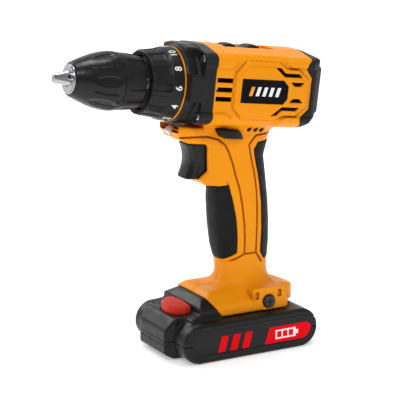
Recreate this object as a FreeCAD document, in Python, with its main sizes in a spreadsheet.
"""Cordless drill driver with a two-speed planetary gearbox, a keyless chuck and a slide-on battery pack.

The drill stands on its pack: +Z is up, the nose points to -X and the origin is the middle of the pack's resting
face.  Everything on the motor's axis is drawn in the barrel frame, whose X axis is that axis and which leans
nose-up over the base frame.  The driving dimensions are the cells of the sheet "dims".
"""
import FreeCAD, Part
import math
import os
import Sketcher
from FreeCAD import Placement, Rotation, Vector

DIMENSIONS = {
    # the barrel frame
    "tilt": 7.0, "axis_lift": 177.4, "axis_setback": -1.9,
    # barrel, with its rear cover
    "barrel_front": -22.8, "barrel_back": 59.5, "barrel_half": 29.0, "barrel_top": 28.0, "barrel_floor": -23.6,
    "wall": 2.6, "panel_proud": 0.7, "grip_depth": 1.5,
    # chuck and jaws
    "jaw_tip": -124.5, "nose_end": -114.6, "nose_radius": 9.7, "sleeve_front": -113.4, "sleeve_seam": -82.3,
    "sleeve_radius": 18.7, "belly_radius": 19.2, "ring_back": -66.0, "ring_radius": 17.6, "jaw_radius": 2.9,
    "jaw_slope": 14.0, "jaw_travel": 19.0,
    # torque collar
    "collar_front": -64.4, "collar_back": -43.1, "collar_nose_radius": 21.2, "collar_radius": 24.4,
    "trim_width": 0.9,
    # gear housing and geared stages
    "gearcase_front": -42.0, "gearcase_radius": 25.4, "gearcase_bore": 20.2, "gearcase_end": -20.2, "chin_roof": -26.6,
    "nose_tube_front": -60.5, "nose_tube_radius": 12.0, "bearing_radius": 8.0, "spindle_radius": 5.0,
    "gear_module": 0.9, "sun_teeth": 12, "planet_teeth": 12, "annulus_teeth": 36, "gear_width": 6.0,
    "annulus_radius": 19.8, "pin_radius": 1.6, "shift_travel": 3.5,
    # motor
    "motor_front": -17.0, "motor_back": 35.0, "motor_radius": 18.0, "motor_cap_back": 43.0, "shaft_radius": 1.6,
    # handle, foot and trigger
    "foot_half": 27.3, "foot_base": 27.4, "foot_front": -18.4, "foot_back": 33.2, "foot_top": 43.0,
    "tail_back": 50.0, "tail_radius": 15.0, "tail_top": 40.5,
    "trigger_half": 9.5, "trigger_travel": 6.0, "selector_half": 19.6, "selector_travel": 2.5,
    # battery pack
    "pack_length": 103.6, "pack_height": 26.8, "pack_half": 36.4, "pack_wall": 2.2, "pack_nose": -57.0,
    "pack_nose_half": 20.5, "cell_radius": 9.2, "cell_length": 65.0, "cell_pitch": 18.6, "cell_first": -34.7,
    "deck_half": 23.6, "deck_top": 38.0, "rail_depth": 2.2, "rail_low": 29.2, "rail_high": 31.4,
    "button_half": 13.5, "button_top": 35.2,
    "button_travel": 3.0,
}

doc = FreeCAD.newDocument("cordless_drill")
sheet = doc.addObject("Spreadsheet::Sheet", "dims")
for row, (alias, number) in enumerate(DIMENSIONS.items(), start=1):
    sheet.set(f"A{row}", alias)
    sheet.set(f"B{row}", str(number))
    sheet.setAlias(f"B{row}", alias)
doc.recompute()

SUB_PARTS = []


def size(alias):
    """The number in the sheet's cell of that alias."""
    return float(sheet.get(alias))


BARREL = Placement(Vector(size("axis_setback"), 0, size("axis_lift")), Rotation(Vector(0, 1, 0), size("tilt")))
BASE = Placement()
X_AXIS, Y_AXIS, Z_AXIS = Vector(1, 0, 0), Vector(0, 1, 0), Vector(0, 0, 1)
ORIGIN = Vector(0, 0, 0)


# ---------------------------------------------------------------- helpers

def worth(text):
    """What an expression in the sheet's cells comes to."""
    return float(sheet.evalExpression(text))


def outline(body, name, plane, points):
    """Closed sketch of straight lines whose corners are bound to the sheet: points are pairs of expressions."""
    sketch = body.newObject("Sketcher::SketchObject", name)
    origin_plane = next(f for f in body.Origin.OriginFeatures if f.Role == plane)
    sketch.AttachmentSupport = [(origin_plane, "")]
    sketch.MapMode = "FlatFace"
    corners = [Vector(worth(a), worth(b), 0) for a, b in points]
    count = len(points)
    for i in range(count):
        sketch.addGeometry(Part.LineSegment(corners[i], corners[(i + 1) % count]), False)
    for i in range(count):
        sketch.addConstraint(Sketcher.Constraint("Coincident", i, 2, (i + 1) % count, 1))
    for i, texts in enumerate(points):
        for kind, axis, text, at in (("DistanceX", -2, texts[0], corners[i].x), ("DistanceY", -1, texts[1], corners[i].y)):
            if abs(at) < 1e-9:
                sketch.addConstraint(Sketcher.Constraint("PointOnObject", i, 1, axis))
            elif at > 0:
                index = sketch.addConstraint(Sketcher.Constraint(kind, -1, 1, i, 1, at))
                sketch.setExpression(f"Constraints[{index}]", text)
            else:
                index = sketch.addConstraint(Sketcher.Constraint(kind, i, 1, -1, 1, -at))
                sketch.setExpression(f"Constraints[{index}]", f"-({text})")
    return sketch


def with_cells(points):
    """Corner expressions with the sheet's name put before each cell alias, so that outlines stay readable."""
    words = sorted(DIMENSIONS, key=len, reverse=True)

    def spelled(text):
        out, i = "", 0
        while i < len(text):
            word = next((w for w in words if text.startswith(w, i)), None)
            out += f"dims.{word}" if word else text[i]
            i += len(word) if word else 1
        return out

    return [(spelled(str(a)), spelled(str(b))) for a, b in points]


def sub_part(obj, label, frame=BARREL):
    """Names a finished object, puts it in its frame and lists it for export."""
    obj.Label = label
    obj.Placement = frame.multiply(obj.Placement)
    SUB_PARTS.append(obj)
    return obj


def turned(label, points, frame=BARREL):
    """Body of revolution about its frame's X axis; points are (along, radius) expressions."""
    body = doc.addObject("PartDesign::Body", label)
    sketch = outline(body, f"{label}_profile", "XY_Plane", with_cells(points))
    spin = body.newObject("PartDesign::Revolution", f"{label}_turn")
    spin.Profile = (sketch, [""])
    spin.ReferenceAxis = (sketch, ["H_Axis"])
    spin.Angle = 360.0
    doc.recompute()
    return sub_part(body, label, frame)


def pockets_round(body, name, cutter_points, count):
    """Cuts one lengthwise groove into a turned body and repeats it round the X axis."""
    sketch = outline(body, f"{name}_groove", "XY_Plane", with_cells(cutter_points))
    groove = body.newObject("PartDesign::Pocket", f"{name}_pocket")
    groove.Profile = (sketch, [""])
    groove.SideType = "Symmetric"
    groove.Type = "Length"
    groove.Length = 2.4
    doc.recompute()
    ring = body.newObject("PartDesign::PolarPattern", f"{name}_pattern")
    ring.Originals = [groove]
    ring.Axis = (next(f for f in body.Origin.OriginFeatures if f.Role == "X_Axis"), [""])
    ring.Angle = 360.0
    ring.Occurrences = count
    body.Tip = ring
    doc.recompute()


def shaped(label, shape, frame=BARREL):
    """A sub-part whose shape is made with Part's own functions from the sheet's sizes."""
    obj = doc.addObject("Part::Feature", label)
    obj.Shape = shape.removeSplitter() if shape.ShapeType == "Solid" else shape
    return sub_part(obj, label, frame)


def block(low, high):
    """Box between two corners."""
    a, b = Vector(*low), Vector(*high)
    return Part.makeBox(b.x - a.x, b.y - a.y, b.z - a.z, a)


def rod(radius, start, end):
    """Cylinder from one point to another."""
    a, b = Vector(*start), Vector(*end)
    return Part.makeCylinder(radius, (b - a).Length, a, b - a)


def tube(outer, inner, start, end):
    return rod(outer, start, end).cut(rod(inner, start, end))


def slab(points, half, other=None):
    """Side-view polygon (x, z) as a prism from y = -half to y = half, or to other."""
    end = half if other is None else other
    start = -half if other is None else half
    wire = Part.makePolygon([Vector(x, start, z) for x, z in points + points[:1]])
    return Part.Face(wire).extrude(Vector(0, end - start, 0))


def section_prism(points, start, end):
    """Section polygon (y, z) as a prism along x."""
    wire = Part.makePolygon([Vector(start, y, z) for y, z in points + points[:1]])
    return Part.Face(wire).extrude(Vector(end - start, 0, 0))


def in_base(shape):
    """A shape drawn in the barrel frame, moved to the base frame."""
    moved = shape.copy()
    moved.Placement = BARREL.multiply(moved.Placement)
    return moved


def fused(shapes):
    return shapes[0].multiFuse(shapes[1:]) if len(shapes) > 1 else shapes[0]


# ---------------------------------------------------------------- gears

INVOLUTE_STEPS = 3
PRESSURE = math.radians(25)
BACKLASH = 0.10


def gear_outline(teeth, addendum, dedendum, thinner):
    """Corner points of a spur gear about the X axis, with a tooth centred on +Y; flanks are short chords of
    the involute.  thinner is the tooth's loss of thickness at the pitch circle."""
    pitch = size("gear_module") * teeth / 2
    base = pitch * math.cos(PRESSURE)
    tip, root = pitch + addendum, pitch - dedendum

    def lag(radius):
        if radius <= base:
            return 0.0
        roll = math.sqrt((radius / base) ** 2 - 1)
        return roll - math.atan(roll)

    half_pitch = math.pi / (2 * teeth) - thinner / (2 * pitch) + lag(pitch)
    low = max(root, base)
    radii = [low + (tip - low) * i / INVOLUTE_STEPS for i in range(INVOLUTE_STEPS + 1)]
    flank = [(r, half_pitch - lag(r)) for r in radii]
    if root < base:
        flank.insert(0, (root, flank[0][1]))
    points = []
    for tooth in range(teeth):
        middle = 2 * math.pi * tooth / teeth
        points += [(r, middle - a) for r, a in flank]
        points += [(r, middle + a) for r, a in reversed(flank)]
    return [(r * math.cos(a), r * math.sin(a)) for r, a in points]


def spur(teeth, start, end, turn=0.0, centre=(0.0, 0.0)):
    """External gear from x = start to end, turned by an angle in degrees, about a centre (y, z)."""
    corners = gear_outline(teeth, 0.8 * size("gear_module"), 1.05 * size("gear_module"), BACKLASH)
    shape = section_prism(corners, start, end)
    shape.rotate(ORIGIN, X_AXIS, turn)
    shape.translate(Vector(0, *centre))
    return shape


def annulus(start, end, radius, turn=0.0):
    """Internal gear: the gaps are a spur's teeth, cut to the ring's own addendum and dedendum."""
    gap = gear_outline(int(size("annulus_teeth")), 1.05 * size("gear_module"), 0.8 * size("gear_module"), -BACKLASH)
    gaps = section_prism(gap, start - 1, end + 1)
    ring = rod(radius, (start, 0, 0), (end, 0, 0)).cut(gaps)
    ring.rotate(ORIGIN, X_AXIS, turn)
    return ring


ORBIT = size("gear_module") * (size("sun_teeth") + size("planet_teeth")) / 2
PLANET_ANGLES = [0, 120, 240]
HALF_TOOTH = 180 / size("planet_teeth")


def planet_centre(angle):
    return ORBIT * math.cos(math.radians(angle)), ORBIT * math.sin(math.radians(angle))


def planets(stage, start):
    """Three planet gears, each with its own bore, half a tooth out of step with the sun."""
    end = start + size("gear_width")
    for letter, angle in zip("abc", PLANET_ANGLES):
        y, z = planet_centre(angle)
        gear = spur(int(size("planet_teeth")), start, end, HALF_TOOTH, (y, z))
        gear = gear.cut(rod(size("pin_radius") + 0.05, (start - 1, y, z), (end + 1, y, z)))
        shaped(f"stage_{stage}_planet_{letter}", gear)


def carrier_plate(start, end, radius, pins_to):
    """Round plate with three planet pins that reach back to pins_to."""
    parts = [rod(radius, (start, 0, 0), (end, 0, 0))]
    for angle in PLANET_ANGLES:
        y, z = planet_centre(angle)
        parts.append(rod(size("pin_radius"), (start + 0.5, y, z), (pins_to, y, z)))
    return fused(parts)


STAGE_1_PLANETS = -28.0
STAGE_2_PLANETS = -38.0
CARRIER_GAP = 0.4
CARRIER_PLATE = 2.4


def gear_train():
    """Two planetary stages: motor pinion, carrier with the second sun, and the output spindle's own carrier."""
    planets(1, STAGE_1_PLANETS)
    planets(2, STAGE_2_PLANETS)
    first_plate = STAGE_1_PLANETS - CARRIER_GAP - CARRIER_PLATE
    width = size("gear_width")
    carrier = fused([
        carrier_plate(first_plate, first_plate + CARRIER_PLATE, 14.6, STAGE_1_PLANETS + width),
        spur(int(size("sun_teeth")), STAGE_2_PLANETS, first_plate + 0.2),
    ])
    carrier = carrier.cut(rod(size("shaft_radius") + 0.4, (first_plate - 4, 0, 0), (first_plate + 5, 0, 0)))
    shaped("stage_1_carrier", carrier)
    second_plate = STAGE_2_PLANETS - CARRIER_GAP - CARRIER_PLATE
    spindle = fused([
        carrier_plate(second_plate, second_plate + CARRIER_PLATE, 14.6, STAGE_2_PLANETS + width),
        rod(size("spindle_radius"), (-79.0, 0, 0), (second_plate + 0.5, 0, 0)),
        rod(size("spindle_radius") + 1.5, (second_plate - 1.6, 0, 0), (second_plate + 0.5, 0, 0)),
    ])
    spindle = spindle.cut(rod(1.7, (-80, 0, 0), (-66, 0, 0)))
    shaped("output_spindle", spindle)
    half_gap = 180 / size("annulus_teeth")
    shaped("stage_1_annulus", annulus(-26.2, -20.6, size("annulus_radius"), half_gap))
    ring = annulus(STAGE_2_PLANETS - 0.3, STAGE_2_PLANETS + width + 1.8, size("annulus_radius"), half_gap)
    ring = ring.cut(tube(size("annulus_radius") + 1, size("annulus_radius") - 1.3, (-36.0, 0, 0), (-34.4, 0, 0)))
    shaped("stage_2_annulus", ring)


YOKE_TOP = 23.2


def shift_yoke():
    """Fork between the speed selector and the groove of the sliding annulus."""
    inner, outer = size("annulus_radius") - 1.1, size("annulus_radius") + 0.2
    third = math.radians(60)
    sector = section_prism([(0, 0), (-40 * math.sin(third), 40 * math.cos(third)), (0, 60),
                            (40 * math.sin(third), 40 * math.cos(third))], -36, -34)
    fork = tube(outer, inner, (-35.8, 0, 0), (-34.6, 0, 0)).common(sector)
    post = block((-35.8, -0.9, outer - 0.6), (-34.6, 0.9, YOKE_TOP))
    run = block((-35.8, -0.9, YOKE_TOP - 1.0), (-4.0, 0.9, YOKE_TOP))
    hook = block((-5.2, -0.9, YOKE_TOP - 1.0), (-4.0, 0.9, YOKE_TOP + 1.4))
    shaped("shift_yoke", fused([fork, post, run, hook]))


# ---------------------------------------------------------------- chuck

def chuck():
    """Steel chuck body, three jaws, the nut that drives them and the two sleeves."""
    slope = math.radians(size("jaw_slope"))
    along = Vector(math.cos(slope), 0, math.sin(slope))

    def jaw_rod(angle, radius, start, end):
        """Cylinder on a jaw's slanted line; start and end are distances back from where the lines meet."""
        meet = Vector(size("jaw_tip"), 0, 0)
        shape = Part.makeCylinder(radius, end - start, meet + along * start, along)
        shape.rotate(ORIGIN, X_AXIS, angle)
        return shape

    body = fused([
        rod(size("nose_radius") - 0.8, (size("nose_end"), 0, 0), (-110.0, 0, 0)),
        Part.makeCone(size("nose_radius"), 14.6, 27.0, Vector(size("nose_end") + 0.6, 0, 0), X_AXIS),
        rod(14.6, (-88.0, 0, 0), (-66.4, 0, 0)),
    ])
    body = body.cut(rod(size("spindle_radius") + 0.02, (-79.5, 0, 0), (-60, 0, 0)))
    body = body.cut(rod(4.9, (size("nose_end") - 1, 0, 0), (-84, 0, 0)))
    body = body.cut(rod(1.75, (-85, 0, 0), (-79, 0, 0)))
    body = body.cut(tube(16, 11.2, (-97.8, 0, 0), (-91.2, 0, 0)))
    for angle in PLANET_ANGLES:
        body = body.cut(jaw_rod(angle, size("jaw_radius") + 0.12, -6, 58))
    shaped("chuck_body", body)
    third = math.radians(60)
    far = 30
    for number, angle in enumerate(PLANET_ANGLES, start=1):
        wedge = section_prism([(0, 0.15), (far * math.sin(third), far * math.cos(third)), (0, far * 2),
                               (-far * math.sin(third), far * math.cos(third))], -140, -60)
        jaw = jaw_rod(0, size("jaw_radius"), -6, 34.0).common(wedge)
        jaw = jaw.common(rod(24, (size("jaw_tip"), 0, 0), (-85, 0, 0)))
        cap = Part.makeCone(2.2, 42.2, 40, Vector(size("jaw_tip"), 0, 0), X_AXIS)
        jaw = jaw.common(cap)
        jaw.rotate(ORIGIN, X_AXIS, angle)
        shaped(f"chuck_jaw_{number}", jaw)
    turned("chuck_nut", [("-97.6", "11.5"), ("-91.4", "11.5"), ("-91.4", "16.4"), ("-97.6", "15.2")])
    turned("chuck_front_sleeve", [
        ("sleeve_front", "nose_radius + 0.25"), ("sleeve_front", "nose_radius + 0.9"), ("sleeve_front + 5", "12.9"),
        ("sleeve_front + 14", "16.6"), ("-92", "18.7"), ("-87", "belly_radius"), ("sleeve_seam", "sleeve_radius"),
        ("sleeve_seam", "16.5"), ("-91.2", "16.5"), ("-97.7", "15.25"), ("-104", "12.9")])
    ring = turned("chuck_rear_sleeve", [
        ("sleeve_seam + 0.25", "16.1"), ("sleeve_seam + 0.25", "sleeve_radius - 0.1"), ("-77", "18.3"),
        ("ring_back + 0.8", "ring_radius"), ("ring_back", "ring_radius - 0.8"), ("ring_back", "14.6"),
        ("-71.5", "14.6"), ("-71.5", "16.1")])
    pockets_round(ring, "chuck_rear_sleeve", [
        ("-78.5", "belly_radius - 1.9"), ("-78.5", "belly_radius + 1"), ("ring_back + 1", "belly_radius + 1"),
        ("ring_back + 1", "ring_radius - 0.8")], 12)
    turned("chuck_screw", [("-87", "0"), ("-87", "3.6"), ("-84", "3.6"), ("-84", "1.6"), ("-68", "1.6"), ("-68", "0")])


# ---------------------------------------------------------------- collar, clutch and gear housing

def front_end():
    collar = turned("torque_collar", [
        ("collar_front", "17.9"), ("collar_front", "collar_nose_radius - 0.8"),
        ("collar_front + 0.9", "collar_nose_radius"), ("-54", "22.6"), ("-49.4", "23.9"),
        ("collar_back - 0.5", "collar_radius"), ("collar_back", "collar_radius - 0.5"), ("collar_back", "21.9"),
        ("-60.8", "19.4"), ("-60.8", "17.9")])
    pockets_round(collar, "torque_collar", [
        ("-64", "21.6"), ("-62", "21.2"), ("-52", "22.3"), ("-51", "24.5"), ("-64", "24.5")], 12)
    turned("collar_trim_ring", [
        ("collar_back + 0.1", "22.4"), ("collar_back + 0.1", "collar_radius"),
        ("collar_back + trim_width", "collar_radius"), ("collar_back + trim_width", "22.4")])
    turned("clutch_plate", [("-46.6", "12.3"), ("-46.6", "18.6"), ("-44.8", "18.6"), ("-44.8", "12.3")])
    turned("clutch_nut", [("-60.2", "12.3"), ("-60.2", "17.4"), ("-56.6", "17.4"), ("-56.6", "12.3")])
    turned("spindle_bearing", [
        ("-59.6", "spindle_radius + 0.04"), ("-59.6", "bearing_radius - 0.05"), ("-52.6", "bearing_radius - 0.05"),
        ("-52.6", "spindle_radius + 0.04")])
    coil = spring(14.2, 0.7, -56.4, -46.8, 3)
    shaped("clutch_spring", coil)
    lathe = [
        (size("nose_tube_front"), size("bearing_radius")), (size("nose_tube_front"), size("nose_tube_radius")),
        (-44.6, size("nose_tube_radius")), (-44.6, 21.4), (size("gearcase_front") - 0.05, 21.4),
        (size("gearcase_front") - 0.05, 24.4), (-38.6, size("gearcase_radius")),
        (size("barrel_front"), size("gearcase_radius")), (size("barrel_front"), 21.8),
        (size("gearcase_end"), 21.8), (size("gearcase_end"), size("gearcase_bore")),
        (-41.6, size("gearcase_bore")), (-41.6, 10.5), (-44.6, 8.6), (-52.4, 8.0)]
    wire = Part.makePolygon([Vector(x, 0, r) for x, r in lathe + lathe[:1]])
    case = Part.Face(wire).revolve(ORIGIN, X_AXIS, 360)
    flange = section_prism(barrel_section(0.0), -31.6, size("barrel_front"))
    flange = flange.cut(rod(size("gearcase_radius") - 1.4, (-33, 0, 0), (-20, 0, 0)))
    case = case.fuse(flange)
    for side in (-1, 1):
        case = case.fuse(block((-40.5, min(side * 23.0, side * 28.9), -8), (-31, max(side * 23.0, side * 28.9), 9.5)))
    crest = section_prism(barrel_section(0.6), -40.5, -31.0).common(block((-41, -17.0, 20.0), (-30, 17.0, 30.0)))
    case = case.fuse(crest.cut(rod(size("gearcase_bore") + 2.0, (-42, 0, 0), (-30, 0, 0))))
    for side, lift in FLANGE_SCREWS:
        case = case.cut(rod(3.1, (-46, side, lift), (FLANGE_SEAT, side, lift)))
        case = case.cut(rod(1.55, (-30, side, lift), (-20, side, lift)))
    case = case.cut(block((-37.2, -1.2, 18), (-18, 1.2, YOKE_TOP + 1.0)))
    shaped("gear_housing", case)
    screws = [screw((FLANGE_SEAT, side, lift), X_AXIS, 12.0, 2.7) for side, lift in FLANGE_SCREWS]
    shaped("gear_housing_screws", Part.makeCompound(screws))


FLANGE_SCREWS = [(-22.4, 19.4), (22.4, 19.4), (-22.4, -17.8), (22.4, -17.8)]
FLANGE_SEAT = -29.3


def screw(seat, into, length, head=2.9, shank=1.45):
    """Pan-head screw with a cross recess; seat is under the head and into points along the shank."""
    into = Vector(*into)
    seat = Vector(*seat)
    body = Part.makeCylinder(head, 2.0, seat - into * 2.0, into)
    body = body.fuse(Part.makeCylinder(shank, length, seat, into))
    body = body.makeFillet(0.8, [e for e in body.Edges if e.Curve.TypeId == "Part::GeomCircle"
                                 and abs(e.Curve.Radius - head) < 1e-6
                                 and (e.Curve.Center - (seat - into * 2.0)).Length < 1e-6])
    side = Vector(0, 0, 1) if abs(into.z) < 0.5 else Vector(0, 1, 0)
    other = into.cross(side)
    for a, b in ((side, other), (other, side)):
        low = seat - into * 2.2 - a * (head * 0.62) - b * 0.35
        cutter = Part.makeBox(1, 1, 1)
        matrix = FreeCAD.Matrix(
            a.x * head * 1.24, b.x * 0.7, into.x * 1.3, low.x, a.y * head * 1.24, b.y * 0.7, into.y * 1.3, low.y,
            a.z * head * 1.24, b.z * 0.7, into.z * 1.3, low.z, 0, 0, 0, 1)
        body = body.cut(cutter.transformGeometry(matrix))
    return body


def spring(radius, wire, start, end, turns):
    """Coil spring about the X axis between two stations, bent from short straights."""
    length = end - start - 2 * wire
    steps = 12 * turns
    path = []
    for i in range(steps + 1):
        angle = math.radians(360 * turns * i / steps)
        path.append(Vector(start + wire + length * i / steps, radius * math.cos(angle), radius * math.sin(angle)))
    profile = Part.Wire([Part.makeCircle(wire, path[0], path[1] - path[0])])
    return Part.makePolygon(path).makePipeShell([profile], True, False, 1)


# ---------------------------------------------------------------- motor

def motor():
    turned("motor_can", [
        ("motor_front", "4.2"), ("motor_front", "motor_radius - 1.0"), ("motor_front + 1", "motor_radius"),
        ("motor_back", "motor_radius"), ("motor_back", "motor_radius - 1.2"),
        ("motor_front + 1.2", "motor_radius - 1.2"), ("motor_front + 1.2", "4.2")])
    turned("motor_end_cap", [
        ("motor_back + 0.05", "3.4"), ("motor_back + 0.05", "motor_radius - 0.1"),
        ("motor_cap_back - 4", "motor_radius - 0.1"), ("motor_cap_back - 1.5", "9"), ("motor_cap_back", "7.5"),
        ("motor_cap_back", "2.2"), ("motor_back + 6.6", "2.2"), ("motor_back + 6.6", "3.4")])
    turned("motor_shaft", [
        ("-29.6", "0"), ("-29.6", "shaft_radius"), ("motor_back + 6.0", "shaft_radius"), ("motor_back + 6.0", "0")])
    gear = spur(int(size("sun_teeth")), STAGE_1_PLANETS, -20.4)
    shaped("motor_pinion", gear.cut(rod(size("shaft_radius"), (-30, 0, 0), (-18, 0, 0))))
    core = rod(12.0, (-10, 0, 0), (22, 0, 0))
    for k in range(5):
        slot = block((-11, -1.3, 5.2), (23, 1.3, 13))
        slot.rotate(ORIGIN, X_AXIS, 72 * k)
        core = core.cut(slot)
    core = core.fuse(rod(4.6, (22, 0, 0), (34.4, 0, 0)))
    shaped("motor_armature", core.cut(rod(size("shaft_radius"), (-20, 0, 0), (40, 0, 0))))
    turned("motor_magnets", [
        ("-11", "12.8"), ("-11", "motor_radius - 1.25"), ("23", "motor_radius - 1.25"), ("23", "12.8")])
    plate = rod(21.0, (-20.0, 0, 0), (-17.1, 0, 0)).cut(rod(4.4, (-22, 0, 0), (-16, 0, 0)))
    for side in (-1, 1):
        plate = plate.cut(rod(1.6, (-22, side * 9.5, 0), (-16, side * 9.5, 0)))
    plate = plate.cut(block((-21, -1.2, YOKE_TOP - 1.4), (-16, 1.2, YOKE_TOP + 1.0)))
    shaped("gearbox_plate", plate)


# ---------------------------------------------------------------- housing

def drawn_in(points, by):
    """Convex polygon, corners anticlockwise, with every side moved inwards by the same distance."""
    sides = []
    for (ax, ay), (bx, by_end) in zip(points, points[1:] + points[:1]):
        length = math.hypot(bx - ax, by_end - ay)
        nx, ny = (ay - by_end) / length, (bx - ax) / length
        sides.append((nx, ny, nx * ax + ny * ay + by))
    corners = []
    for (a, b, c), (d, e, f) in zip(sides[-1:] + sides[:-1], sides):
        corners.append(((c * e - f * b) / (a * e - d * b), (a * f - d * c) / (a * e - d * b)))
    return corners


def barrel_section(inset):
    """Twelve-sided barrel section (y, z), drawn in by inset."""
    half, top, floor = size("barrel_half"), size("barrel_top"), size("barrel_floor")
    right = [(20.0, floor), (half - 3.0, -21.4), (half, -18.4), (half, 21.4), (half - 3.6, 24.0), (8.0, top)]
    return drawn_in(right + [(-y, z) for y, z in reversed(right)], inset)


def barrel_solid(inset, front, back):
    """Barrel with its rear corners cut off, in the barrel frame."""
    shape = section_prism(barrel_section(inset), front, back - inset)
    end = size("barrel_back")
    side_view = slab(drawn_in([(-80.0, -30.0), (39.3, -30.0), (end, -12.0), (end, 19.4), (end - 2.8, 24.6), (49.8, 29.0),
                               (-80.0, 29.0)], inset), 40)
    half = size("barrel_half") - inset
    end = size("barrel_back") - inset
    plan = Part.Face(Part.makePolygon([Vector(x, y, -40) for x, y in [
        (front - 1, -half - 1), (51.0, -half - 1), (51.0, -half), (end, -half + 4.5), (end, half - 4.5),
        (51.0, half), (51.0, half + 1), (front - 1, half + 1), (front - 1, -half - 1)]])).extrude(Vector(0, 0, 80))
    return shape.common(side_view).common(plan)


# Side-view line between the orange shells and the rear cover, from top to bottom.
COVER_LINE = [(50.2, 30.0), (50.2, 23.0), (46.8, 20.6), (45.6, 17.2), (50.6, 11.4), (50.6, -9.4), (43.6, -16.4),
              (45.6, -20.4), (46.0, -30.0)]

# Handle sections: height, middle, half depth, half width.
HANDLE = [(152.0, 8.0, 25.0, 16.4), (141.0, 5.0, 24.5, 15.8), (130.0, 4.4, 21.5, 15.4), (115.0, 7.4, 20.0, 16.4),
          (100.0, 8.1, 20.9, 17.0), (85.0, 9.0, 20.9, 17.0), (70.0, 9.9, 20.0, 16.5), (58.0, 11.0, 17.8, 15.8),
          (50.0, 11.3, 17.6, 16.0), (42.0, 11.3, 20.5, 18.5)]


def handle_solid(inset):
    """Oval handle, lofted through its sections."""
    rings = []
    for height, middle, depth, half in HANDLE:
        oval = Part.Ellipse(Vector(middle, 0, height), depth - inset, half - inset)
        rings.append(Part.Wire([oval.toShape()]))
    return Part.makeLoft(rings, True, False)


def foot_solid(inset):
    """Foot over the pack: hexagonal seen from the front, with a sloping brow."""
    base, top, half = size("foot_base"), size("foot_top") - inset, size("foot_half") - inset
    across = section_prism([(-half, base), (-half, 34.0), (-17.0 + inset * 0.6, top), (17.0 - inset * 0.6, top),
                            (half, 34.0), (half, base)], -40, 40)
    front, back = size("foot_front"), size("foot_back") - inset
    reach, radius = size("tail_back") - inset, size("tail_radius") - inset
    roof = size("tail_top") - inset
    tail = rod(radius, (reach - radius, 0, base), (reach - radius, 0, roof))
    tail = tail.fuse(block((back - 6, -radius, base), (reach - radius, radius, roof)))
    tail = tail.common(slab([(0, base), (0, 60), (reach - 12.0, 60), (reach - 12.0, roof), (reach, roof - 4.5),
                             (reach, base)], 40))
    along = slab([(front, base), (front - 8.0, 39.4 - inset), (front - 3.0, top), (back - 8.0, top), (back, 38.0 - inset),
                  (back, base)], 40)
    return across.common(along).fuse(tail)


def trigger_block(inset):
    """Square-shouldered part of the handle round the trigger, and the chin that carries the work light."""
    half = 13.2 - inset
    block_side = slab([(-21.0 + inset, 146.0), (-21.0 + inset, 124.0), (-28.0 + inset, 119.0 - 0.4 * inset),
                       (-22.4 + inset, 114.2 + 0.8 * inset), (-12.0, 112.5 + inset), (4.0, 112.5 + inset),
                       (4.0, 146.0)], half)
    roof = size("chin_roof") - inset
    chin = slab([(-41.2 + 1.6 * inset, roof), (-35.2 + inset, -35.0 + 0.6 * inset), (-28.7 + inset, -37.4 + inset),
                 (-8.0, -37.6 + inset), (-8.0, -18.0), (-23.9 + inset, -18.0), (-23.9 + inset, roof)], half)
    return [block_side, in_base(chin)]


def outer_solid(inset):
    shapes = [in_base(barrel_solid(inset, size("barrel_front"), size("barrel_back"))), handle_solid(inset),
              foot_solid(inset)] + trigger_block(inset)
    return fused(shapes)


# Places of the housing screws, in the base frame (x, z).
def screw_places():
    places = []
    for x, z in ((26.0, -22.0), (12.0, -33.0)):
        spot = BARREL.multVec(Vector(x, 0, z))
        places.append((spot.x, spot.z))
    return places + [(8.0, 100.0), (10.0, 66.0), (2.0, 49.0)]


FRONT_GRIP = [(-40.0, 115.0), (-19.0, 115.4), (-14.5, 118.6), (-6.0, 115.6), (-3.2, 103.0), (-0.8, 90.0), (0.4, 76.0),
              (0.4, 66.5), (-5.0, 63.2), (-11.0, 61.4), (-40.0, 61.4)]
REAR_GRIP = [(60.0, 140.5), (16.0, 140.5), (12.6, 136.0), (16.0, 118.0), (18.2, 100.0), (18.6, 80.0), (17.8, 65.0),
             (21.6, 59.5), (60.0, 59.5)]


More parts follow.
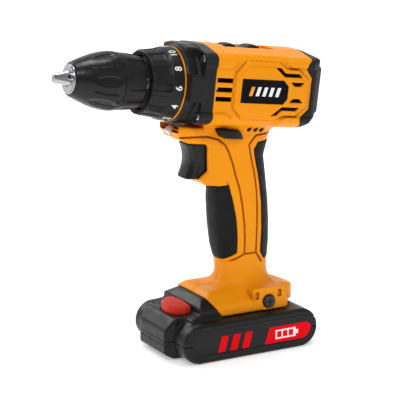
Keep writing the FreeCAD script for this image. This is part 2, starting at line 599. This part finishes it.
def housing():
    wall, depth = size("wall"), size("grip_depth")
    outer = outer_solid(0.0)
    hollow = outer_solid(wall)
    shell = outer.cut(hollow)
    # open the barrel's front for the gear housing and its rear for the cover
    shell = shell.cut(in_base(rod(22.2, (-40, 0, 0), (-15, 0, 0))))
    shell = shell.cut(in_base(rod(size("gearcase_radius") + 0.3, (-60, 0, 0), (size("barrel_front") + 0.05, 0, 0))))
    shell = shell.cut(in_base(section_prism(barrel_section(-0.3), -60, size("barrel_front") + 0.05)))
    rear = in_base(slab(COVER_LINE + [(80.0, -30.0), (80.0, 30.0)], 40))
    shaped("rear_cover", shell.common(rear).common(in_base(block((30, -40, -26), (70, 40, 40)))), BASE)
    shell = shell.cut(rear)
    # sunk bed of the speed selector
    shell = shell.fuse(in_base(block((-13.6, -10.5, 22.8), (30.0, 10.5, 26.4))))
    shell = shell.cut(in_base(block((-9.5, -10.5, 26.0), (29.5, 10.5, 34.0))))
    # raised side panels
    panel = [(-1.0, 21.2), (23.0, 21.2), (30.0, 17.6), (39.0, 17.6), (48.4, 9.8), (48.4, -7.6), (39.6, -14.6),
             (30.0, -14.6), (24.0, -17.8), (-1.0, -17.8), (-8.8, -10.6), (-8.8, 12.4)]
    face = size("barrel_half")
    for side in (-1, 1):
        proud = slab(panel, side * (face - 1.5), side * (face + size("panel_proud")))
        proud = proud.cut(slab([(60, 40), (40.0, 40), (38.0, 19.0), (47.5, 12.0), (47.5, -10.0), (38, -16), (60, -40)], 60))
        shell = shell.fuse(in_base(proud))
    # cradles for the motor
    for station in (-8.0, 27.0):
        rib = barrel_solid(wall - 0.3, station, station + 1.8 + wall).common(block((station, -40, -40), (station + 1.8, 40, 26)))
        rib = rib.cut(rod(size("motor_radius") + 0.1, (station - 1, 0, 0), (station + 3, 0, 0)))
        rib = rib.cut(block((station - 1, -9.5, 17), (station + 3, 9.5, 40)))
        shell = shell.fuse(in_base(rib))
    # rails that hold the pack, and the catch over its latch
    inner, outer_y = size("deck_half") - size("rail_depth") + 0.3, size("foot_half") - 1.0
    for side in (-1, 1):
        low, high = min(side * inner, side * outer_y), max(side * inner, side * outer_y)
        rail = block((size("foot_front") + 1.5, low, size("rail_low")), (size("foot_back") - 1, high, size("rail_high")))
        shell = shell.fuse(rail)
    shell = shell.fuse(block((-22.2, -9.0, size("deck_top") + 0.35), (-20.6, 9.0, 41.5)))
    # bosses
    for side, lift in FLANGE_SCREWS:
        boss = rod(2.9, (size("barrel_front") + 0.1, side, lift), (-13.0, side, lift))
        shell = shell.fuse(in_base(boss)).cut(in_base(rod(1.5, (-30, side, lift), (-16.5, side, lift))))
    for side in (-1, 1):
        shell = shell.fuse(rod(5.6, (CLIP_SCREW[0], side * 24.4, CLIP_SCREW[1]),
                               (CLIP_SCREW[0], side * size("foot_half"), CLIP_SCREW[1])))
    for x, z in screw_places():
        boss = rod(3.0, (x, -34, z), (x, 34, z)).common(outer_solid(wall - 0.4))
        shell = shell.fuse(boss)
    shell = shell.cut(openings())
    left = shell.common(block((-90, -60, 0), (90, 0, 240)))
    right = shell.common(block((-90, 0, 0), (90, 60, 240)))
    for x, z in screw_places():
        left = left.cut(rod(1.5, (x, -9.5, z), (x, 1, z)))
        right = right.cut(rod(1.5, (x, -1, z), (x, 20, z)))
        right = right.cut(rod(3.2, (x, 8.0, z), (x, 40, z)))
    skin = handle_solid(0.0).cut(handle_solid(depth))
    left_pads, right_pads = [], []
    for region in (FRONT_GRIP, REAR_GRIP):
        area = slab(region, 40)
        pad = skin.common(area).cut(fused(trigger_block(0.0)))
        left, right = left.cut(pad), right.cut(pad)
        left_pads.append(biggest(pad.common(block((-90, -60, 0), (90, 0, 240)))))
        right_pads.append(biggest(pad.common(block((-90, 0, 0), (90, 60, 240)))))
    shaped("left_grips", Part.makeCompound(left_pads), BASE)
    shaped("right_grips", Part.makeCompound(right_pads), BASE)
    shaped("left_housing", biggest(left), BASE)
    shaped("right_housing", biggest(right), BASE)
    screws = [screw((x, 8.0, z), (0, -1, 0), 16.5, 2.9, 1.42) for x, z in screw_places()]
    shaped("housing_screws", Part.makeCompound(screws), BASE)


def biggest(shape):
    """The largest solid of a shape, without crumbs that a cut leaves."""
    return max(shape.Solids, key=lambda s: s.Volume)


SELECTOR = [(-10.8, -26.7), (3.6, -26.7), (6.6, -28.3), (9.0, -32.2), (-3.4, -32.2), (-7.4, -30.9)]


def grown(points, by):
    """Polygon pushed out from its middle by about the given distance."""
    mx = sum(p[0] for p in points) / len(points)
    mz = sum(p[1] for p in points) / len(points)
    out = []
    for x, z in points:
        reach = math.hypot(x - mx, z - mz)
        out.append((mx + (x - mx) * (1 + by * 1.4 / reach), mz + (z - mz) * (1 + by * 1.4 / reach)))
    return out


def openings():
    """Everything that is cut through the shells: vents, slots, lamp and trigger windows, and the pack's bay."""
    cuts = []
    for lift in (7.0, 0.9, -5.2):
        cuts.append(in_base(block((-21.6, -40, lift - 1.5), (-9.4, 40, lift + 1.5))))
    for mirror in (1, -1):
        shift = 0.0 if mirror == 1 else 2.6
        bent = [(20.6, 17.0), (25.2, 17.0), (28.8, 13.6), (39.8, 13.6), (42.0, 11.2), (28.2, 11.2)]
        short = [(33.4, 8.0), (43.6, 8.0), (41.4, 5.4), (36.2, 5.4)]
        for points in (bent, short):
            cuts.append(in_base(slab([(x, mirror * z + (shift if mirror == -1 else 0)) for x, z in points], 40)))
    cuts.append(in_base(slab(grown(SELECTOR, 0.3), 40)))
    cuts.append(in_base(block((-8.4, -5.9, 24.4), (26.2, 5.9, 34.0))))
    cuts.append(in_base(block((-12.6, -8.4, 23.9), (28.0, 8.4, 25.3))))
    cuts.append(in_base(block((-20.0, -2.0, 20.0), (2.5, 2.0, 24.4))))
    cuts.append(rod(1.95, (CLIP_SCREW[0], -40, CLIP_SCREW[1]), (CLIP_SCREW[0], 40, CLIP_SCREW[1])))
    for x in LIGHT_STATIONS:
        cuts.append(in_base(rod(1.65, (x, -30, LIGHT_LIFT), (x, -8, LIGHT_LIFT))))
    window = size("trigger_half") + 0.4
    cuts.append(slab([(-45.0, 143.4), (-16.0, 143.4), (-16.0, 118.2), (-45.0, 118.2)], window))
    cuts.append(in_base(rod(2.65, (-43.0, 0, -35.1), (-35.6, 0, -28.6))))
    cuts.append(deck(-40.0, size("foot_back") - 3.0, 0.3))
    beside_tail = size("tail_radius") + 0.1
    cuts.append(deck(size("foot_back") - 4.0, 60.0, 0.3).cut(block((0, -beside_tail, 0), (80, beside_tail, 60))))
    return Part.makeCompound(cuts)


def deck(start, end, grow):
    """The pack's deck, which runs in the foot: flat on top with sloping shoulders."""
    half, top = size("deck_half") + grow, size("deck_top") + grow
    return section_prism([(-half, 20.0), (-half, 32.6), (-15.5, top), (15.5, top), (half, 32.6), (half, 20.0)],
                         start, end)


LIGHT_STATIONS = (12.7, 17.7, 22.6)
LIGHT_LIFT = -25.6
CLIP_SCREW = (17.6, 33.4)


def controls():
    """Trigger, switch, direction selector, speed selector, lights and labels."""
    half = size("trigger_half")
    face = [Vector(-33.6, 0, 119.8), Vector(-31.2, 0, 131.0), Vector(-34.5, 0, 142.9)]
    front = Part.Arc(*face).toShape()
    lines = [Vector(-34.5, 0, 142.9), Vector(-14.0, 0, 142.9), Vector(-14.0, 0, 118.6), Vector(-31.6, 0, 118.6),
             Vector(-33.6, 0, 119.8)]
    edges = [front] + [Part.makeLine(a, b) for a, b in zip(lines, lines[1:])]
    trigger = Part.Face(Part.Wire(edges)).extrude(Vector(0, 2 * half, 0))
    trigger.translate(Vector(0, -half, 0))
    trigger = trigger.makeFillet(3.0, [e for e in trigger.Edges if e.Curve.TypeId == "Part::GeomCircle"])
    trigger = trigger.cut(block((-26.0, -half + 2, 120.2), (-13.0, half - 2, 141.0)))
    stem = rod(3.0, (-27.0, 0, 133.0), (-5.0, 0, 133.0))
    shaped("trigger", trigger.fuse(stem), BASE)
    switch = block((-7.0, -8.6, 119.0), (14.0, 8.6, 139.4)).cut(rod(3.3, (-9, 0, 133.0), (4.0, 0, 133.0)))
    shaped("switch_module", switch.cut(rod(3.0, (-9, 0, 124.6), (-4, 0, 124.6))), BASE)
    coil = spring(2.2, 0.35, -25.9, -4.05, 7)
    coil.translate(Vector(0, 0, 124.6))
    shaped("trigger_spring", coil, BASE)
    bar = slab(SELECTOR, size("selector_half"))
    shaped("direction_selector", bar, BARREL)
    knob = fused([block((-12.0, -8.0, 24.0), (24.0, 8.0, 25.1)), block((-7.6, -5.5, 25.0), (22.2, 5.5, 26.0)),
                  hump(-7.4, 3.6), hump(9.4, 22.0)])
    shaped("speed_selector", knob.cut(block((-5.25, -0.95, 22), (-3.95, 0.95, 24.65))), BARREL)
    shift_yoke()
    lamp = rod(2.5, (-39.4, 0, -31.9), (-35.6, 0, -28.6))
    shaped("work_light", lamp, BARREL)
    pipes = [rod(1.5, (x, -16.4, LIGHT_LIFT), (x, -11.0, LIGHT_LIFT)) for x in LIGHT_STATIONS]
    shaped("charge_lights", Part.makeCompound(pipes), BARREL)
    plate = [(-4.2, 9.0), (27.4, 9.0), (31.4, 5.2), (31.4, -3.2), (28.4, -6.8), (-4.2, -6.8)]
    near = size("barrel_half") + size("panel_proud")
    plates = [slab(plate, side * near, side * (near + 0.6)) for side in (-1, 1)]
    shaped("nameplates", Part.makeCompound(plates), BARREL)


def hump(start, end):
    """Rounded thumb rest on the speed selector."""
    foot, crown = 25.9, 29.2
    arc = Part.Arc(Vector(start, 0, foot), Vector((start + end) / 2, 0, crown), Vector(end, 0, foot)).toShape()
    chord = Part.makeLine(Vector(end, 0, foot), Vector(start, 0, foot))
    shape = Part.Face(Part.Wire([arc, chord])).extrude(Vector(0, 11.0, 0))
    shape.translate(Vector(0, -5.5, 0))
    return shape


# ---------------------------------------------------------------- foot fittings and battery pack

def stadium(inset, half):
    """Pack section seen from the side, rounded at both ends, as a prism across the pack."""
    length, height = size("pack_length") - 2 * inset, size("pack_height") - 2 * inset
    radius = height / 2
    middle = size("pack_height") / 2
    straight = length / 2 - radius
    shape = block((-straight, -half, middle - radius), (straight, half, middle + radius))
    for end in (-straight, straight):
        shape = shape.fuse(rod(radius, (end, -half, middle), (end, half, middle)))
    return shape.removeSplitter()


def button_plan(grow, low, high):
    """D-shaped prism of the release button: straight at the back, bowed at the front."""
    half = size("button_half") + grow
    back, shoulder, bow = -34.6 + grow, -40.5 - grow * 0.6, -47.6 - grow
    arc = Part.Arc(Vector(shoulder, half, low), Vector(bow, 0, low), Vector(shoulder, -half, low)).toShape()
    rest = [Vector(shoulder, -half, low), Vector(back, -half, low), Vector(back, half, low), Vector(shoulder, half, low)]
    edges = [arc] + [Part.makeLine(a, b) for a, b in zip(rest, rest[1:])]
    return Part.Face(Part.Wire(edges)).extrude(Vector(0, 0, high - low))


def pack_solid(inset):
    """Outside of the pack, or its hollow when inset."""
    wall = inset
    nose_half = size("pack_nose_half") - wall
    nose = slab([(size("pack_nose") + wall, 4.0 + wall), (-38.0, 1.0 + wall), (-38.0, 28.6 - wall), (-51.4 + wall, 28.6 - wall),
                 (size("pack_nose") + wall, 21.6 - wall)], nose_half)
    half_low, half_high = 26.6 - wall, 17.0 - wall * 0.6
    tower = section_prism([(-half_low, 24.0), (-half_low, 33.6), (-half_high, 39.2 - wall), (half_high, 39.2 - wall),
                           (half_low, 33.6), (half_low, 24.0)], -60, -18)
    tower = tower.common(slab([(-34.0 + wall, 24.0), (-34.0 + wall, 35.4 - wall), (size("foot_front") - 8.3 - wall, 39.2 - wall),
                               (size("foot_front") - 0.6 - wall, 27.6), (size("foot_front") - 0.6 - wall, 24.0)], 40))
    return fused([stadium(wall, size("pack_half") - wall), nose, tower])


TERMINAL_SIDES = (-8.0, 0.0, 8.0)


def battery():
    wall, middle = size("pack_wall"), size("pack_height") / 2
    case = pack_solid(0.0).cut(pack_solid(wall))
    plug_floor = button_plan(1.6, 22.8, 24.2).fuse(button_plan(1.6, 24.2, 28.0).cut(button_plan(0.3, 24.0, 29)))
    top_deck = deck(size("foot_front") - 3.0, 28.0, 0.0).cut(block((-60, -60, 0), (60, 60, 26.0)))
    ears = deck(27.0, 52.0, 0.0).cut(block((0, -60, 0), (60, 60, 25.0)))
    ears = ears.cut(block((20, -size("tail_radius") - 0.4, 0), (60, size("tail_radius") + 0.4, 60)))
    ears = ears.common(slab([(20, 20), (20, 38), (36, 38), (51, 26.2), (51, 20)], 40))
    top_deck = top_deck.fuse(ears).cut(stadium(wall, size("pack_half") - wall))
    groove = size("deck_half") - size("rail_depth")
    for side in (-1, 1):
        low, high = min(side * groove, side * 40), max(side * groove, side * 40)
        top_deck = top_deck.cut(block((size("foot_front") - 0.4, low, 27.0), (60, high, size("rail_high") + 0.3)))
    for side in TERMINAL_SIDES:
        top_deck = top_deck.cut(block((8.0, side - 1.2, 29.0), (30, side + 1.2, 40)))
    case = fused([case, plug_floor, top_deck])
    case = case.cut(button_plan(0.3, 24.2, 45))
    case = case.cut(block((-35.0, -6.4, 24.2), (-18.2, 6.4, 30.2)))
    case = case.cut(block((-20.6, -6.4, 28.0), (-18.2, 6.4, 45.0)))
    for side in (-1, 1):
        near, far = side * (size("pack_half") - 1.2), side * (size("pack_half") + 1)
        case = case.cut(side_plate(min(near, far), max(near, far)))
    lower = case.common(block((-80, -60, -1), (80, 60, middle)))
    upper = case.common(block((-80, -60, middle), (80, 60, 60)))
    shaped("battery_lower_case", biggest(lower), BASE)
    shaped("battery_upper_case", biggest(upper), BASE)
    plates = []
    for side in (-1, 1):
        near, far = side * (size("pack_half") - 1.2), side * (size("pack_half") - 0.2)
        plates.append(side_plate(min(near, far), max(near, far)))
    shaped("battery_plates", Part.makeCompound(plates), BASE)
    cells, links = [], []
    reach = size("cell_length") / 2
    for k in range(5):
        x = size("cell_first") + size("cell_pitch") * k
        can = rod(size("cell_radius"), (x, -reach, middle), (x, reach - 1, middle))
        cells.append(can.fuse(rod(2.8, (x, reach - 1, middle), (x, reach, middle))))
    for k in range(4):
        x = size("cell_first") + size("cell_pitch") * k
        side = 1 if k % 2 else -1
        low, high = (reach, reach + 0.3) if side > 0 else (-reach - 0.3, -reach)
        links.append(block((x - 3, low, middle - 3), (x + size("cell_pitch") + 3, high, middle + 3)))
    shaped("battery_cells", Part.makeCompound(cells), BASE)
    shaped("cell_links", Part.makeCompound(links), BASE)
    shaped("battery_board", block((-24.0, -20, 23.0), (26.0, 20, 24.4)), BASE)
    clips = []
    for side in TERMINAL_SIDES:
        for edge in (-1, 1):
            a, b = side + edge * 0.6, side + edge * 1.1
            clips.append(block((12.0, min(a, b), 29.0), (22.0, max(a, b), 35.4)))
    shaped("battery_terminals", Part.makeCompound(clips), BASE)
    button = button_plan(0.0, 27.6, size("button_top"))
    button = button.makeFillet(1.2, [e for e in button.Edges if e.BoundBox.ZMin > size("button_top") - 0.01])
    button = button.cut(rod(3.4, (-41.0, 0, 27), (-41.0, 0, 32.0)))
    latch = fused([block((-36.0, -6.0, 27.6), (-18.6, 6.0, 29.8)), block((-20.2, -6.0, 28.0), (-18.6, 6.0, 40.0))])
    shaped("release_button", button.fuse(latch), BASE)
    coil = spring(2.6, 0.35, 0.0, 7.7, 5)
    coil.rotate(ORIGIN, Y_AXIS, -90)
    coil.translate(Vector(-41.0, 0, 24.25))
    shaped("release_spring", coil, BASE)


def side_plate(low, high):
    """Rounded inlay plate on the pack's cheek."""
    inset = 3.8
    length, height = size("pack_length") / 2 - inset, size("pack_height") / 2 - inset
    middle = size("pack_height") / 2
    shape = block((-length + height, low, middle - height), (length - height, high, middle + height))
    for x in (-length + height, length - height):
        shape = shape.fuse(rod(height, (x, low, middle), (x, high, middle)))
    return shape.removeSplitter()


def foot_fittings():
    blades = [block((13.0, side - 0.4, 30.4), (30.0, side + 0.4, 34.0)) for side in TERMINAL_SIDES]
    shaped("tool_terminals", Part.makeCompound(blades), BASE)
    holder = block((28.3, -12.4, 29.4), (31.0, 12.4, 46.0)).common(outer_solid(size("wall")))
    for side in TERMINAL_SIDES:
        holder = holder.cut(block((27, side - 0.4, 30.4), (30.0, side + 0.4, 34.0)))
    shaped("terminal_holder", holder, BASE)
    screws = []
    for side in (-1, 1):
        seat = side * (size("foot_half") + 0.05)
        screws.append(screw((CLIP_SCREW[0], seat, CLIP_SCREW[1]), (0, -side, 0), 1.4, 4.4, 1.9))
    shaped("accessory_screws", Part.makeCompound(screws), BASE)


# ---------------------------------------------------------------- build

def check_and_export():
    doc.recompute()
    for obj in doc.Objects:
        if "Invalid" in obj.State or "Error" in obj.State:
            raise RuntimeError(f"{obj.Label} failed to build: {obj.State}")
    os.makedirs("parts", exist_ok=True)
    for name in os.listdir("parts"):
        os.remove(os.path.join("parts", name))
    for obj in SUB_PARTS:
        shape = obj.Shape
        if shape.isNull() or not shape.isValid() or not shape.Solids:
            raise RuntimeError(f"{obj.Label} has no valid solid")
        shape.exportStep(os.path.join("parts", f"{obj.Label}.step"))
    print(len(SUB_PARTS), "sub-parts written")


chuck()
front_end()
gear_train()
motor()
housing()
controls()
foot_fittings()
battery()
check_and_export()
